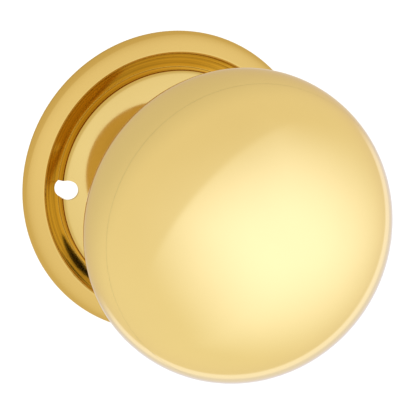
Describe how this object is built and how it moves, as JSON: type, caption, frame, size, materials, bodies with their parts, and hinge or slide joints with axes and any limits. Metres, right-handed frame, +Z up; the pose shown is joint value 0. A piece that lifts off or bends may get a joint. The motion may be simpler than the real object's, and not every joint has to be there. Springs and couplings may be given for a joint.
{
  "type": "door knob",
  "caption": "Round brass door knob with a softly domed face on a round pressed rose, with a return spring cassette and a square spindle.",
  "frame": {"origin": "centre of the rose's back, on the face of the door", "axes": "+Y runs along the knob's axis into the door, so the knob's face looks to -Y; +Z is up, and the two screw holes lie near the X axis, at three and nine o'clock"},
  "size_m": [0.066, 0.1096, 0.066],
  "materials": {
    "polished_brass": "mirror polished and lacquered",
    "plated_steel": "zinc plated, satin",
    "bright_steel": "bright drawn",
    "spring_steel": "oiled spring steel",
    "cast_zinc": "as cast",
    "nylon": "moulded, matte"
  },
  "bodies": {
    "rose_body": {"rose_cover": "polished_brass", "neck_bush": "nylon", "mounting_plate": "plated_steel", "plate_nut": "bright_steel", "spring_housing": "plated_steel", "housing_cover": "plated_steel", "housing_rivet_1": "bright_steel", "housing_rivet_2": "bright_steel", "housing_rivet_3": "bright_steel", "housing_rivet_4": "bright_steel", "torsion_spring": "spring_steel"},
    "knob_body": {"knob_front_shell": "polished_brass", "knob_back_shell": "polished_brass", "knob_core": "cast_zinc", "neck_ferrule": "polished_brass", "shank_tube": "bright_steel", "spindle": "bright_steel", "spindle_pin": "bright_steel", "driver_plate": "plated_steel", "thrust_washer": "nylon", "wave_washer": "spring_steel", "retaining_ring": "spring_steel"}
  },
  "joints": [
    {"name": "knob_turn", "type": "hinge", "parent": "rose_body", "child": "knob_body", "pos_m": [0, 0, 0], "axis": [0, 1, 0], "range_deg": [-60, 60], "stiffness_Nm_per_rad": 0.12, "deforming": ["torsion_spring"]}
  ]
}
